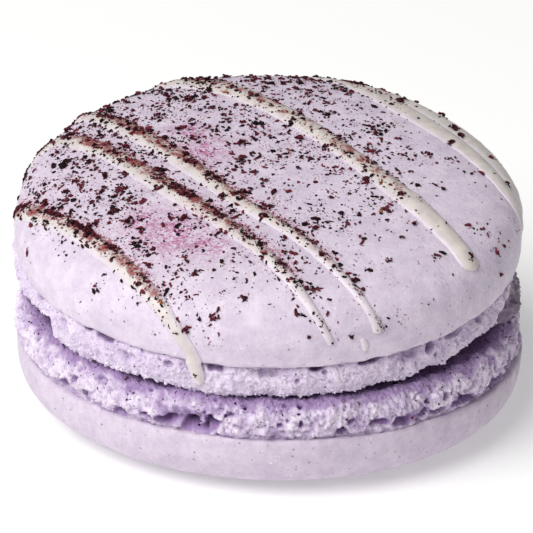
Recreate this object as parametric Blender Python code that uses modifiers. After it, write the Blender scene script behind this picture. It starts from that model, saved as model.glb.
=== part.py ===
"""A macaron: two domed almond shells with crumbly feet, a pale filling, icing drizzle and dark fruit flakes."""

import math
import random

import bmesh
import bpy
from mathutils import Matrix, Vector, noise

MM = 0.001  # the sizes below are in millimetres, the scene is in metres

# Lower shell, domed side down
SHELL_RADIUS = 23.0
REST_RADIUS = 11.0  # the flat spot that it stands on
LOWER_DOME_HEIGHT = 5.9
LOWER_DOME_POWER = 3.3
LOWER_FOOT_TOP = 9.3
LOWER_FOOT_RISE = 0.5  # how much taller the foot is at the back than at the front

# Upper shell, in its own frame: the smooth dome ends at the lip, height 0
DOME_RADIUS = 22.7
DOME_HEIGHT = 7.3
DOME_PLAN_POWER = 2.4
DOME_RISE_POWER = 3.8
FOOT_RADIUS = 22.6
FOOT_DROP = 3.4  # from the lip down to the foot's torn edge
FOOT_SHIFT = -0.25  # the foot spread a little to one side in the oven
SHELL_TILT = math.radians(7.0)  # nods towards the front
SHELL_ROLL = math.radians(-0.5)
LIP_HEIGHT = 15.8
UPPER_OFFSET = -0.3  # sideways, from the lower shell's axis
NOTCH_FROM, NOTCH_TO = 172.0, 214.0  # degrees, where the foot's lower edge broke away
NOTCH_HEIGHT = 1.3

# Filling, a wedge between the two feet
FILLING_RADIUS = 22.3
FILLING_FRONT_RADIUS = 16.5
CLEARANCE = 0.3  # between pieces that touch

# Facets
ROUND_STEPS = 96
FLAKE_COUNT = 110
FLAKE_SEED = 21
FLAKE_HALF_THICKNESS = 0.30
FLAKE_LIFT = 0.12

LILAC = (0.72, 0.62, 0.75)
CREAM = (0.83, 0.79, 0.70)

# Hollows torn in the feet: degrees round the shell, height on the foot, half width, half height, depth
LOWER_HOLLOWS = (
    (214, 6.5, 0.8, 0.5, 0.5), (222, 6.4, 0.9, 0.5, 0.6), (232, 6.3, 0.8, 0.4, 0.5), (246, 6.6, 1.3, 0.6, 0.8),
    (252, 6.7, 2.0, 1.0, 1.0), (258, 7.2, 1.5, 0.7, 0.9), (286, 6.5, 1.2, 0.5, 0.6), (294, 6.7, 1.6, 0.6, 0.8),
    (303, 7.1, 1.6, 0.7, 0.8), (321, 6.6, 1.3, 0.5, 0.9), (329, 6.5, 1.0, 0.4, 0.6), (352, 7.4, 1.4, 0.7, 0.5),
    (18, 6.7, 1.8, 0.8, 0.8), (41, 7.3, 1.2, 0.6, 0.6), (67, 6.6, 1.6, 0.6, 0.8), (88, 7.0, 1.3, 0.8, 0.7),
    (112, 6.5, 2.0, 0.7, 0.9), (137, 7.2, 1.2, 0.6, 0.6), (158, 6.7, 1.5, 0.7, 0.8), (186, 7.0, 1.4, 0.6, 0.6),
)
UPPER_HOLLOWS = (
    (227, -1.0, 1.0, 0.6, 0.5), (236, -1.7, 0.9, 0.5, 0.5), (268, -0.8, 1.6, 0.5, 0.6), (280, -0.7, 0.8, 0.4, 0.7),
    (294, -0.8, 1.6, 0.4, 0.7), (303, -0.9, 1.2, 0.6, 0.6), (309, -1.0, 0.7, 0.5, 0.6), (321, -0.9, 0.9, 0.4, 0.5),
    (345, -1.2, 1.2, 0.5, 0.5), (12, -0.9, 1.3, 0.5, 0.6), (38, -1.3, 1.1, 0.6, 0.6), (63, -0.8, 1.6, 0.4, 0.6),
    (94, -1.2, 1.2, 0.6, 0.6), (121, -0.9, 1.5, 0.5, 0.6), (149, -1.3, 1.0, 0.5, 0.5), (178, -0.9, 1.2, 0.4, 0.5),
)

# Drizzle lines as (across, back, half width) on the dome's skin, laid flat round its top
DRIZZLE = {
    "drizzle_left": (
        (-25.6, -0.8, 0.50), (-23.8, -2.6, 0.58), (-20.6, -6.2, 0.62), (-17.1, -10.0, 0.62), (-14.3, -13.5, 0.62),
        (-11.6, -17.2, 0.62), (-9.1, -21.0, 0.60), (-7.6, -24.4, 0.62), (-7.0, -26.6, 0.68), (-6.8, -28.3, 0.52),
    ),
    "drizzle_second": (
        (-23.4, 4.6, 0.45), (-21.6, 6.6, 0.55), (-19.4, 6.8, 0.65), (-15.0, 2.4, 0.70), (-9.8, -4.0, 0.72),
        (-4.3, -10.3, 0.70), (0.0, -15.4, 0.62), (4.0, -21.2, 0.42), (6.2, -24.0, 0.30),
    ),
    "drizzle_third": (
        (-21.0, 16.2, 0.55), (-18.4, 13.2, 0.62), (-15.6, 9.6, 0.70), (-8.1, 0.0, 0.72), (-2.6, -7.3, 0.70),
        (2.3, -12.2, 0.62), (6.7, -17.6, 0.45), (9.2, -20.6, 0.38), (10.5, -22.0, 0.55),
    ),
    "drizzle_middle": (
        (-14.0, 22.4, 0.95), (-10.6, 19.6, 1.10), (-6.9, 17.0, 1.15), (-3.5, 14.2, 1.12), (2.7, 7.3, 1.05),
        (8.4, -0.2, 1.00), (11.0, -3.7, 1.10), (13.7, -7.1, 1.05), (16.4, -10.5, 0.95), (18.2, -12.6, 1.15),
    ),
    "drizzle_right": (
        (0.9, 24.2, 0.80), (4.2, 21.3, 0.90), (7.6, 17.9, 1.00), (11.5, 13.2, 1.15), (14.5, 9.6, 1.10),
        (17.2, 6.5, 1.00), (19.9, 2.9, 0.90), (22.2, -0.2, 0.80), (24.4, -2.4, 0.50),
    ),
    "drizzle_rim": (
        (5.3, 22.3, 0.80), (9.2, 18.9, 1.10), (12.9, 15.3, 1.25), (16.0, 11.7, 1.30), (18.3, 9.1, 1.25),
        (20.3, 6.3, 1.20), (21.9, 4.1, 1.10), (23.6, 2.7, 1.00), (25.4, 2.0, 0.90), (27.2, 1.5, 0.80), (28.9, 1.1, 0.60),
    ),
}
ICING_RISE = 0.36  # how far a line stands proud, for its half width
ICING_SINK = 0.75  # how far its underside lies in the shell, for its half width
ICING_LIFT = 0.06


def plain(name, colour, roughness):
    material = bpy.data.materials.new(name)
    material.use_nodes = True
    surface = material.node_tree.nodes["Principled BSDF"]
    surface.inputs["Base Color"].default_value = (*colour, 1.0)
    surface.inputs["Roughness"].default_value = roughness
    surface.inputs["Metallic"].default_value = 0.0
    return material


def collection_named(name):
    collection = bpy.data.collections.new(name)
    bpy.context.scene.collection.children.link(collection)
    return collection


def evaluated_mesh(item):
    """The item's mesh after its modifiers, as a new mesh."""
    bpy.context.view_layer.update()
    return bpy.data.meshes.new_from_object(item.evaluated_get(bpy.context.evaluated_depsgraph_get()))


def turned(name, outline, collection):
    """A solid of revolution from an outline that runs from the axis, down its outer side, to the axis."""
    profile = bpy.data.meshes.new(name)
    points = [(radius * MM, 0.0, height * MM) for radius, height in outline]
    profile.from_pydata(points, [(i, i + 1) for i in range(len(points) - 1)], [])
    item = bpy.data.objects.new(name, profile)
    collection.objects.link(item)
    screw = item.modifiers.new("Turn", "SCREW")
    screw.steps = screw.render_steps = ROUND_STEPS
    screw.use_merge_vertices = True
    screw.merge_threshold = 0.00001
    item.data = evaluated_mesh(item)
    item.modifiers.clear()
    bpy.data.meshes.remove(profile)
    return item


def shift_points(item, rule):
    """Moves every point of a mesh, in millimetres, to rule(point)."""
    for vertex in item.data.vertices:
        vertex.co = rule(vertex.co / MM) * MM
    item.data.update()


def finish(item, material):
    item.data.materials.clear()
    item.data.materials.append(material)
    item.data.shade_smooth()
    item.data.set_sharp_from_angle(angle=math.radians(40))


def smooth_step(low, high, value):
    share = min(max((value - low) / (high - low), 0.0), 1.0)
    return share * share * (3.0 - 2.0 * share)


def degrees_round(point):
    return math.degrees(math.atan2(point.y, point.x)) % 360.0


def crumb(point, size, seed):
    """Smooth noise between about -1 and 1, with lumps of the given size."""
    return noise.noise(point / size + Vector((seed, 2.7 * seed, -1.3 * seed)))


def foot_relief(point, hollows, seed):
    """How far the foot's wall stands out at a point, from its crumb and its torn hollows."""
    out = 0.30 * crumb(point, 3.4, seed) + 0.22 * crumb(point, 1.7, seed + 5.0)
    here = degrees_round(point)
    for angle, height, half_width, half_height, depth in hollows:
        turn = (here - angle + 180.0) % 360.0 - 180.0
        across = math.radians(turn) * FOOT_RADIUS / half_width
        up = (point.z - height) / half_height
        out -= depth * math.exp(-across * across - up * up)
    return out


def push_out(point, amount):
    flat = Vector((point.x, point.y, 0.0))
    return point + flat.normalized() * amount


def upper_frame():
    """Where the upper shell's own frame sits on the lower shell."""
    turn = Matrix.Rotation(SHELL_ROLL, 4, "Y") @ Matrix.Rotation(SHELL_TILT, 4, "X")
    return Matrix.Translation((UPPER_OFFSET, 0.0, LIP_HEIGHT)) @ turn


def upper_underside(x, y):
    """Height of the upper shell's flat underside over a point of the lower shell's frame."""
    frame = upper_frame()
    base = frame @ Vector((0.0, 0.0, -FOOT_DROP))
    up = frame.to_3x3() @ Vector((0.0, 0.0, 1.0))
    return base.z - (up.x * (x - base.x) + up.y * (y - base.y)) / up.z


def lower_shell(collection):
    steps = 6
    outline = [(0.0, LOWER_FOOT_TOP), (17.0, LOWER_FOOT_TOP), (20.6, LOWER_FOOT_TOP), (21.7, LOWER_FOOT_TOP + 0.1)]
    outline += [(22.4, 8.9), (22.8, 8.3), (22.95, 7.7), (22.9, 7.1), (22.7, 6.6), (22.6, 6.2)]
    for step in range(steps + 1):
        turn = math.pi / 2 * (1 - step / steps)
        out = math.sin(turn) ** (2 / LOWER_DOME_POWER)
        up = 1 - math.cos(turn) ** (2 / LOWER_DOME_POWER)
        outline.append((REST_RADIUS + (SHELL_RADIUS - REST_RADIUS) * out, LOWER_DOME_HEIGHT * up))
    outline.append((0.0, 0.0))
    shell = turned("bottom_shell", outline, collection)

    def crumble(point):
        radius = math.hypot(point.x, point.y)
        if point.z < LOWER_DOME_HEIGHT + 0.1 or radius < 19.0:
            return point
        wall = smooth_step(20.9, 22.4, radius)
        point = push_out(point, wall * foot_relief(point, LOWER_HOLLOWS, 1.0))
        if point.z > 8.0:
            behind = 0.5 + 0.5 * point.y / SHELL_RADIUS
            point.z += LOWER_FOOT_RISE * behind + 0.25 * crumb(point, 3.0, 9.0)
        point.z = min(point.z, upper_underside(point.x, point.y) - CLEARANCE - 0.1)
        return point

    shift_points(shell, crumble)
    return shell


def dome_point(turn):
    """Radius and height of the dome's outline, from the top (0) to the lip (a quarter turn)."""
    return (
        DOME_RADIUS * math.sin(turn) ** (2 / DOME_PLAN_POWER),
        DOME_HEIGHT * max(math.cos(turn), 0.0) ** (2 / DOME_RISE_POWER),
    )


def skin_outline():
    """The dome's outline and the foot's wall below it as (distance along the skin, radius, height)."""
    points = [dome_point(math.pi / 2 * i / 400) for i in range(401)]
    points += [(FOOT_RADIUS + 0.1, -0.5 * i) for i in range(1, 8)]
    outline = [(0.0, *points[0])]
    for (radius, height), (next_radius, next_height) in zip(points, points[1:]):
        length = outline[-1][0] + math.hypot(next_radius - radius, next_height - height)
        outline.append((length, next_radius, next_height))
    return outline


SKIN = skin_outline()
LIP_DISTANCE = SKIN[400][0]


def skin_place(distance):
    """Radius, height and slope of the skin at a distance along it from the top."""
    for (near, radius, height), (far, next_radius, next_height) in zip(SKIN, SKIN[1:]):
        if far >= distance:
            break
    share = min((distance - near) / (far - near), 1.0)
    run, fall = (next_radius - radius) / (far - near), (next_height - height) / (far - near)
    return radius + share * (next_radius - radius), height + share * (next_height - height), run, fall


def on_skin(across, back, proud=0.0):
    """A point on the upper shell, proud of its skin, and the direction that points out of it."""
    radius, height, run, fall = skin_place(math.hypot(across, back))
    direction = Vector((across, back, 0.0)).normalized()
    out = (direction * -fall + Vector((0.0, 0.0, run))).normalized()
    spot = direction * radius + Vector((FOOT_SHIFT * smooth_step(0.0, 0.6, -height), 0.0, height))
    return spot + out * proud, out


def upper_shell(collection):
    distances = [0.0, 5.0, 10.0, 14.5, 18.0, 20.2, 22.0, 23.4, 24.6, 25.7]
    outline = [skin_place(distance)[:2] for distance in distances]
    outline += [(DOME_RADIUS, 0.0), (22.2, -0.4), (22.5, -0.9), (22.7, -1.5), (22.75, -2.1), (22.6, -2.7)]
    outline += [(22.1, -3.2), (21.2, -FOOT_DROP), (17.0, -FOOT_DROP), (0.0, -FOOT_DROP)]
    shell = turned("top_shell", outline, collection)

    def crumble(point):
        radius = math.hypot(point.x, point.y)
        below = smooth_step(0.0, 0.6, -point.z)
        if below == 0.0 or radius < 1.0:
            return point
        wall = below * smooth_step(20.9, 22.0, radius)
        point = push_out(point, wall * foot_relief(point, UPPER_HOLLOWS, 3.0))
        here = degrees_round(point)
        broken = smooth_step(NOTCH_FROM - 8, NOTCH_FROM, here) * (1 - smooth_step(NOTCH_TO - 2, NOTCH_TO, here))
        lower_edge = smooth_step(1.4, FOOT_DROP, -point.z) * smooth_step(19.5, 21.0, radius)
        point.z += NOTCH_HEIGHT * broken * lower_edge
        point.x += FOOT_SHIFT * below
        return point

    shift_points(shell, crumble)
    return shell


def rounded_route(points, spacing):
    """Points about a spacing apart on a smooth curve through the given ones."""
    route = []
    for i in range(len(points) - 1):
        before, start, end, after = (Vector(points[min(max(j, 0), len(points) - 1)]) for j in range(i - 1, i + 3))
        steps = max(1, round((end - start).length / spacing))
        for step in range(steps):
            t = step / steps
            route.append(0.5 * (
                2 * start + (end - before) * t + (2 * before - 5 * start + 4 * end - after) * t * t
                + (3 * start - before - 3 * end + after) * t * t * t
            ))
    return route + [Vector(points[-1])]


def drizzle_line(name, points, collection):
    """A line of icing: a bead drawn flat, squashed, and wrapped over the skin with its underside sunk in it."""
    route = rounded_route(points, 2.3)
    path = bpy.data.curves.new(name, "CURVE")
    path.dimensions = "3D"
    path.bevel_depth = MM
    path.bevel_resolution = 1
    path.use_fill_caps = True
    spline = path.splines.new("POLY")
    spline.points.add(len(route) - 1)
    for i, (place, dot) in enumerate(zip(route, spline.points)):
        from_end = min(i, len(route) - 1 - i)
        dot.radius = place.z * (0.55 if from_end == 0 else 1.0)
        dot.co = (place.x * MM, place.y * MM, 0.0, 1.0)
    guide = bpy.data.objects.new(name, path)
    collection.objects.link(guide)
    line = bpy.data.objects.new(name, evaluated_mesh(guide))
    bpy.data.objects.remove(guide)
    cage = bmesh.new()
    cage.from_mesh(line.data)
    bmesh.ops.remove_doubles(cage, verts=cage.verts, dist=0.00001)
    for vertex in cage.verts:
        across, back, level = vertex.co / MM
        proud = ICING_LIFT + level * (ICING_RISE if level > 0.0 else ICING_SINK)
        vertex.co = on_skin(across, back, proud)[0] * MM
    bmesh.ops.recalc_face_normals(cage, faces=cage.faces)
    cage.to_mesh(line.data)
    cage.free()
    collection.objects.link(line)


def beside(across, back, points):
    """Distance from a place on the skin to a drizzle line, above zero on its far side, and its half width there."""
    best, side, half = 1000.0, 1.0, 0.0
    for (x, y, width), (next_x, next_y, next_width) in zip(points, points[1:]):
        along_x, along_y = next_x - x, next_y - y
        share = ((across - x) * along_x + (back - y) * along_y) / (along_x * along_x + along_y * along_y)
        share = min(max(share, 0.0), 1.0)
        away_x, away_y = across - x - share * along_x, back - y - share * along_y
        away = math.hypot(away_x, away_y)
        if away < best:
            best, half = away, width + share * (next_width - width)
            side = 1.0 if along_x * away_y - along_y * away_x > 0 else -1.0
    return best * side, half


def icing_height(across, back):
    """How far the icing stands proud of the skin at a place."""
    height = 0.0
    for points in DRIZZLE.values():
        away, half = beside(across, back, points)
        if abs(away) < half:
            height = max(height, ICING_LIFT + ICING_RISE * math.sqrt(half * half - away * away))
    return height


def flake_share(across, back):
    """How thickly the fruit flakes lie at a place on the skin, 0 to 1: most at the left and behind."""
    distance = math.hypot(across, back)
    share = 0.06 + 0.94 * (1 - smooth_step(-4.0, 17.0, across + 0.15 * back))
    share *= (1 - smooth_step(23.5, 27.0, distance)) * smooth_step(-26.0, -14.0, back)
    bare, half = beside(across, back, DRIZZLE["drizzle_left"])
    share *= 0.06 + 0.94 * smooth_step(-half - 0.4, 0.0, bare)
    caught = 0.0
    for name in ("drizzle_left", "drizzle_second", "drizzle_third"):
        away, half = beside(across, back, DRIZZLE[name])
        caught = max(caught, math.exp(-((away - half) / 0.8) ** 2))
    return min(1.0, share * (0.45 + 0.75 * caught))


def flakes(collection):
    """The largest fruit flakes: flat, angular crumbs pressed half into the skin."""
    draw = random.Random(FLAKE_SEED)
    placed = []
    while len(placed) < FLAKE_COUNT:
        across, back = draw.uniform(-24, 24), draw.uniform(-24, 24)
        chance = draw.random()
        turn, size, squash = draw.uniform(0, math.tau), draw.uniform(0.42, 0.75), draw.uniform(0.5, 0.85)
        jitter = [draw.uniform(0.72, 1.25) for _ in range(12)]
        if chance > flake_share(across, back):
            continue
        if any((across - x) ** 2 + (back - y) ** 2 < 1.5 ** 2 for x, y in placed):
            continue
        placed.append((across, back))
        crumbs = bmesh.new()
        bmesh.ops.create_icosphere(crumbs, subdivisions=1, radius=1.0)
        for vertex, stretch in zip(crumbs.verts, jitter):
            vertex.co *= stretch
        spot, out = on_skin(across, back, FLAKE_LIFT + 0.5 * icing_height(across, back))
        lie = out.to_track_quat("Z", "Y").to_matrix().to_4x4() @ Matrix.Rotation(turn, 4, "Z")
        shape = Matrix.Diagonal((size * MM, size * squash * MM, FLAKE_HALF_THICKNESS * MM, 1.0))
        bmesh.ops.transform(crumbs, matrix=Matrix.Translation(spot * MM) @ lie @ shape, verts=crumbs.verts)
        name = f"flake_{len(placed):03d}"
        mesh = bpy.data.meshes.new(name)
        crumbs.to_mesh(mesh)
        crumbs.free()
        collection.objects.link(bpy.data.objects.new(name, mesh))


def fuse(item, collection):
    """Joins everything in a collection to the item and empties the collection."""
    union = item.modifiers.new("Fuse", "BOOLEAN")
    union.operation = "UNION"
    union.operand_type = "COLLECTION"
    union.collection = collection
    union.solver = "EXACT"
    union.use_self = True
    fused = evaluated_mesh(item)
    item.modifiers.clear()
    item.data = fused
    for topping in list(collection.objects):
        bpy.data.objects.remove(topping)
    bpy.data.collections.remove(collection)


def filling(collection):
    """The soft filling, pressed into a wedge by the nodding upper shell and open to view at the back and right."""
    disc = bmesh.new()
    floor = LOWER_FOOT_TOP + LOWER_FOOT_RISE + CLEARANCE + 0.2
    bmesh.ops.create_cone(
        disc, cap_ends=True, cap_tris=False, segments=72, radius1=1.0, radius2=1.0, depth=1.0,
        matrix=Matrix.Translation((0.0, 0.0, 0.5)),
    )
    walls = [edge for edge in disc.edges if abs(edge.verts[0].co.z - edge.verts[1].co.z) > 0.5]
    bmesh.ops.subdivide_edges(disc, edges=walls, cuts=2)
    for vertex in disc.verts:
        level = vertex.co.z
        angle = math.atan2(vertex.co.y, vertex.co.x)
        pressed = smooth_step(0.08, 0.7, -math.sin(angle))
        radius = FILLING_RADIUS + (FILLING_FRONT_RADIUS - FILLING_RADIUS) * pressed
        radius += 0.25 * math.sin(5 * angle + 1.0) + 0.35 * (1 if 0.1 < level < 0.9 else -1)
        x, y = radius * math.cos(angle), radius * math.sin(angle)
        ceiling = upper_underside(x, y) - CLEARANCE
        vertex.co = Vector((x, y, floor + level * (ceiling - floor))) * MM
    mesh = bpy.data.meshes.new("filling")
    disc.to_mesh(mesh)
    disc.free()
    item = bpy.data.objects.new("filling", mesh)
    collection.objects.link(item)
    return item


def centre(items):
    """Moves everything so that the whole stands centred on the origin."""
    bpy.context.view_layer.update()
    corners = [item.matrix_world @ vertex.co for item in items for vertex in item.data.vertices]
    low = Vector(min(corner[axis] for corner in corners) for axis in range(3))
    high = Vector(max(corner[axis] for corner in corners) for axis in range(3))
    move = Vector((-(low.x + high.x) / 2, -(low.y + high.y) / 2, -low.z))
    for item in items:
        item.location += move


def main():
    for item in list(bpy.data.objects):
        bpy.data.objects.remove(item)
    macaron = collection_named("macaron")
    toppings = collection_named("toppings")

    bottom = lower_shell(macaron)
    middle = filling(macaron)
    top = upper_shell(macaron)
    for name, points in DRIZZLE.items():
        drizzle_line(name, points, toppings)
    flakes(toppings)
    fuse(top, toppings)
    top.location = (UPPER_OFFSET * MM, 0.0, LIP_HEIGHT * MM)
    top.rotation_euler = (SHELL_TILT, SHELL_ROLL, 0.0)

    finish(bottom, plain("lower almond shell", LILAC, 0.75))
    finish(middle, plain("filling", CREAM, 0.5))
    finish(top, plain("upper almond shell", LILAC, 0.7))
    centre([bottom, middle, top])


main()
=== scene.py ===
import math
import random

import bmesh
import bpy
from mathutils import Matrix, Vector, noise


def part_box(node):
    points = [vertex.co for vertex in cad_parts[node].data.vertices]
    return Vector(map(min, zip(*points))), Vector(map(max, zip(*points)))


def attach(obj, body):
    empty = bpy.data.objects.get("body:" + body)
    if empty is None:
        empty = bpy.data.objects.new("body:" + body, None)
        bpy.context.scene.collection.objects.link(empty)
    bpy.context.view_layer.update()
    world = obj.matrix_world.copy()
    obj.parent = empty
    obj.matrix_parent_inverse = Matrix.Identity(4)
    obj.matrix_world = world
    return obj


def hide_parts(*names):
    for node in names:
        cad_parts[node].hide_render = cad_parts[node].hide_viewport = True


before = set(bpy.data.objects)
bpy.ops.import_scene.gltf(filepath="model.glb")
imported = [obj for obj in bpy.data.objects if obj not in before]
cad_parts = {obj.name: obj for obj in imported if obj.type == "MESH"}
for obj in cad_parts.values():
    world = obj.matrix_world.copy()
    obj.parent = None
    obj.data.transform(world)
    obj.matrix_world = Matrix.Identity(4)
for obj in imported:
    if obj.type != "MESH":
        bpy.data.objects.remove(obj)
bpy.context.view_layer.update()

# Lower shell
# The lower half of the macaron, baked almond meringue. Its smooth dome faces down and has settled flat where
# it stands. Above it runs the foot, the ring of torn, bubbly crumb that rose out of the shell as it baked.
MM = 0.001  # sizes and places are in millimetres, and meshes in metres
SHELL_RADIUS = 23.0
REST_RADIUS = 11.0
LOWER_DOME_HEIGHT = 5.9
LOWER_DOME_POWER = 3.3
LOWER_FOOT_BOTTOM = 5.7
LOWER_FOOT_TOP = 9.3
LOWER_FOOT_RISE = 0.5  # how much higher the foot stands behind
BURIED_RADIUS = 18.7  # nearer to the axis the foot lies under the filling
FOOT_RADIUS = 22.6
SHELL_TILT = math.radians(7.0)
SHELL_ROLL = math.radians(-0.5)
LIP_HEIGHT = 15.8
FOOT_DROP = 3.4  # from the upper shell's lip to its foot's flat underside
UPPER_OFFSET = -0.3
CLEARANCE = 0.3  # between the two feet where they all but touch
AXIS_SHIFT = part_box("bottom_shell")[1].x / MM - SHELL_RADIUS  # the shell's axis, from the frame's origin
DOME_STEPS = 648
FOOT_STEPS = 1440
CRUMB_SEED = 5
LOWER_GRAINS = 7000  # loose grains of crumb on the foot
FINE_GRAINS = (0.05, 0.13)  # their least and largest size
SKIN_FINISH = {"freckles": 0.3, "grain_size": 3000.0, "bump": 0.07, "roughness": 0.5, "glow": 0.12}
CRUMB_FINISH = {"freckles": 0.36, "grain_size": 5200.0, "bump": 0.16, "roughness": 0.8, "glow": 0.03}
GRAIN_FINISH = {"freckles": 0.0, "grain_size": 5200.0, "bump": 0.04, "roughness": 0.6, "glow": 0.03}

# Hollows torn in the foot: degrees round the shell, height, half width, half height, depth
LOWER_HOLLOWS = (
    (204, 5.9, 0.5, 0.5, 0.6), (217.5, 6.6, 0.7, 0.35, 1.0), (222.3, 7.75, 0.4, 0.35, 0.8),
    (225, 6.6, 0.3, 0.55, 0.8), (229.5, 8.5, 0.7, 0.35, 0.5), (236, 6.4, 0.9, 0.4, 0.8),
    (242.7, 6.9, 0.6, 0.3, 0.8), (247.4, 6.8, 0.95, 0.45, 1.3), (252, 7.3, 2.6, 0.95, 0.7),
    (252.8, 6.7, 1.0, 0.65, 1.9), (257.8, 7.3, 0.75, 0.65, 1.7), (256, 6.5, 0.6, 0.5, 1.4),
    (262, 8.3, 0.4, 0.3, 0.6), (273, 7.4, 0.3, 0.25, 0.6), (286.6, 6.6, 0.5, 0.35, 1.0),
    (288.8, 7.5, 0.5, 0.25, 0.8), (295.4, 7.05, 1.0, 0.33, 1.2), (301.5, 6.8, 1.2, 0.5, 0.9),
    (306.7, 7.0, 0.6, 0.35, 1.1), (313, 7.9, 0.4, 0.3, 0.7), (318.8, 6.8, 1.3, 0.52, 1.9),
    (326.6, 6.8, 0.4, 0.35, 1.2), (331.7, 6.6, 0.4, 0.55, 1.3), (332, 8.3, 0.3, 0.45, 0.8),
    (338, 7.3, 0.5, 0.3, 0.8), (342, 6.8, 1.0, 0.8, 0.8), (352, 7.4, 1.4, 0.7, 0.6),
    (311.5, 6.6, 0.8, 0.3, 0.9), (323.6, 6.45, 0.7, 0.3, 1.3), (329, 6.5, 0.6, 0.28, 1.1),
    (335, 6.5, 0.8, 0.3, 1.3), (18, 6.7, 1.8, 0.6, 1.0), (41, 7.3, 1.2, 0.5, 0.9), (67, 6.7, 1.6, 0.5, 1.2),
    (88, 7.0, 1.0, 0.6, 1.1), (112, 6.7, 1.8, 0.5, 1.2), (137, 7.2, 1.0, 0.5, 1.0),
    (158, 6.7, 1.3, 0.5, 1.2), (186, 7.0, 1.1, 0.5, 1.0),
)


def smooth_step(low, high, value):
    share = min(max((value - low) / (high - low), 0.0), 1.0)
    return share * share * (3.0 - 2.0 * share)


def within(value, start, full, still, end):
    """A share that is 1 from full to still, and falls to 0 at start and end."""
    return smooth_step(start, full, value) * (1 - smooth_step(still, end, value))


def way_round(x, y):
    """Degrees round the shell's axis, from its right side over its back."""
    return math.degrees(math.atan2(y, x)) % 360.0


def crumb(point, size, seed):
    """Smooth noise between about -1 and 1, with lumps of the given size."""
    return noise.noise(point / size + Vector((seed, 2.7 * seed, -1.3 * seed)))


def spun(outline, steps, wedges=24):
    """A closed turned mesh from an outline of its outer side: one wedge is spun, then copied round."""
    shape = bmesh.new()
    verts = [shape.verts.new((radius, 0.0, height)) for radius, height in outline]
    edges = [shape.edges.new(pair) for pair in zip(verts, verts[1:])]
    wedge = math.tau / wedges
    bmesh.ops.spin(
        shape, geom=verts + edges, cent=(0, 0, 0), axis=(0, 0, 1), dvec=(0, 0, 0), angle=wedge,
        steps=steps // wedges,
    )
    first = list(shape.verts) + list(shape.edges) + list(shape.faces)
    for i in range(1, wedges):
        copied = bmesh.ops.duplicate(shape, geom=first)["geom"]
        corners = [item for item in copied if isinstance(item, bmesh.types.BMVert)]
        bmesh.ops.rotate(shape, verts=corners, cent=(0, 0, 0), matrix=Matrix.Rotation(i * wedge, 3, "Z"))
    bmesh.ops.remove_doubles(shape, verts=shape.verts, dist=0.0005)
    ends = [edge for edge in shape.edges if edge.is_boundary]
    if ends:
        bmesh.ops.holes_fill(shape, edges=ends)
    bmesh.ops.recalc_face_normals(shape, faces=shape.faces)
    return shape


def even_outline(outline, spacing):
    """The same outline with points about a spacing apart."""
    points = [outline[0]]
    for (radius, height), (next_radius, next_height) in zip(outline, outline[1:]):
        count = max(1, round(math.hypot(next_radius - radius, next_height - height) / spacing))
        for i in range(1, count + 1):
            share = i / count
            points.append((radius + share * (next_radius - radius), height + share * (next_height - height)))
    return points


def rounded(points, per_span):
    """Points on a smooth curve through the given ones, of two or three numbers each."""
    route = []
    last = len(points) - 1
    for i in range(last):
        before, start, end, after = (Vector(points[min(max(j, 0), last)]) for j in range(i - 1, i + 3))
        for step in range(per_span):
            t = step / per_span
            route.append(0.5 * (
                2 * start + (end - before) * t + (2 * before - 5 * start + 4 * end - after) * t * t
                + (3 * start - before - 3 * end + after) * t * t * t
            ))
    return route + [Vector(points[-1])]


def hollow_depth(here, height, ragged, hollows):
    """How deep the torn hollows are at a place on a foot's wall, and how far into one it lies, for painted
    shade.
    """
    depth = inside_shade = 0.0
    for angle, middle, half_width, half_height, deep in hollows:
        turn = (here - angle + 180.0) % 360.0 - 180.0
        across = math.radians(turn) * FOOT_RADIUS / half_width
        reach = math.hypot(across, (height - middle) / half_height)
        if reach < 2.0:
            depth = max(depth, deep * (1 - smooth_step(0.5, 1.1, reach + ragged)))
            inside_shade = max(inside_shade, min(deep, 1.0) * (1 - smooth_step(1.0, 1.3, reach + ragged)))
    return depth, inside_shade


def foot_relief(point, hollows, seed, lumpy=1.0):
    """How far a foot's wall stands out at a point, and the shade painted in its creases, pores and hollows.
    """
    here = way_round(point.x, point.y)
    swell = 0.30 * crumb(point, 3.4, seed) + 0.22 * crumb(point, 1.7, seed + 5.0)
    ragged = 0.55 * crumb(point, 0.7, seed + 29.0) + 0.06 * crumb(point, 0.3, seed + 31.0)
    hollow, inside_shade = hollow_depth(here, point.z, ragged, hollows)
    lumps = 0.48 * abs(crumb(point, 1.3, seed + 11.0)) + 0.34 * abs(crumb(point, 0.6, seed + 17.0)) - 0.20
    lumps += 0.18 * crumb(point, 0.33, seed + 23.0) + 0.13 * crumb(point, 0.17, seed + 27.0)
    away, cells = noise.voronoi(point / 0.75 + Vector((seed, 0.0, 0.0)))
    pore = 0.34 * max(noise.cell(cells[0] * 9.0) - 0.45, 0.0) / 0.55 + 0.02
    lumps -= 0.5 * (1 - smooth_step(0.6 * pore, 1.4 * pore, away[0])) * smooth_step(0.06, 0.2, pore)
    lumps *= lumpy * (1 - 0.9 * inside_shade)
    # painted shade: creases, pores, the inside of hollows and the deepest hollows are coloured darker
    recess_shade = max(-1.5 * lumps, 0.0) + 0.5 * inside_shade + 0.35 * smooth_step(0.9, 1.8, hollow)
    return swell + lumps - (1.2 + 0.35 * crumb(point, 0.8, seed + 33.0)) * hollow, min(recess_shade, 1.0)


def push_out(point, amount):
    return point + Vector((point.x, point.y, 0.0)).normalized() * amount


def upper_frame():
    turn = Matrix.Rotation(SHELL_ROLL, 4, "Y") @ Matrix.Rotation(SHELL_TILT, 4, "X")
    return Matrix.Translation((UPPER_OFFSET, 0.0, LIP_HEIGHT)) @ turn


def upper_underside(x, y):
    """Height of the upper shell's flat underside over a point of the lower shell."""
    base = upper_frame() @ Vector((0.0, 0.0, -FOOT_DROP))
    up = upper_frame().to_3x3() @ Vector((0.0, 0.0, 1.0))
    return base.z - (up.x * (x - base.x) + up.y * (y - base.y)) / up.z


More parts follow.
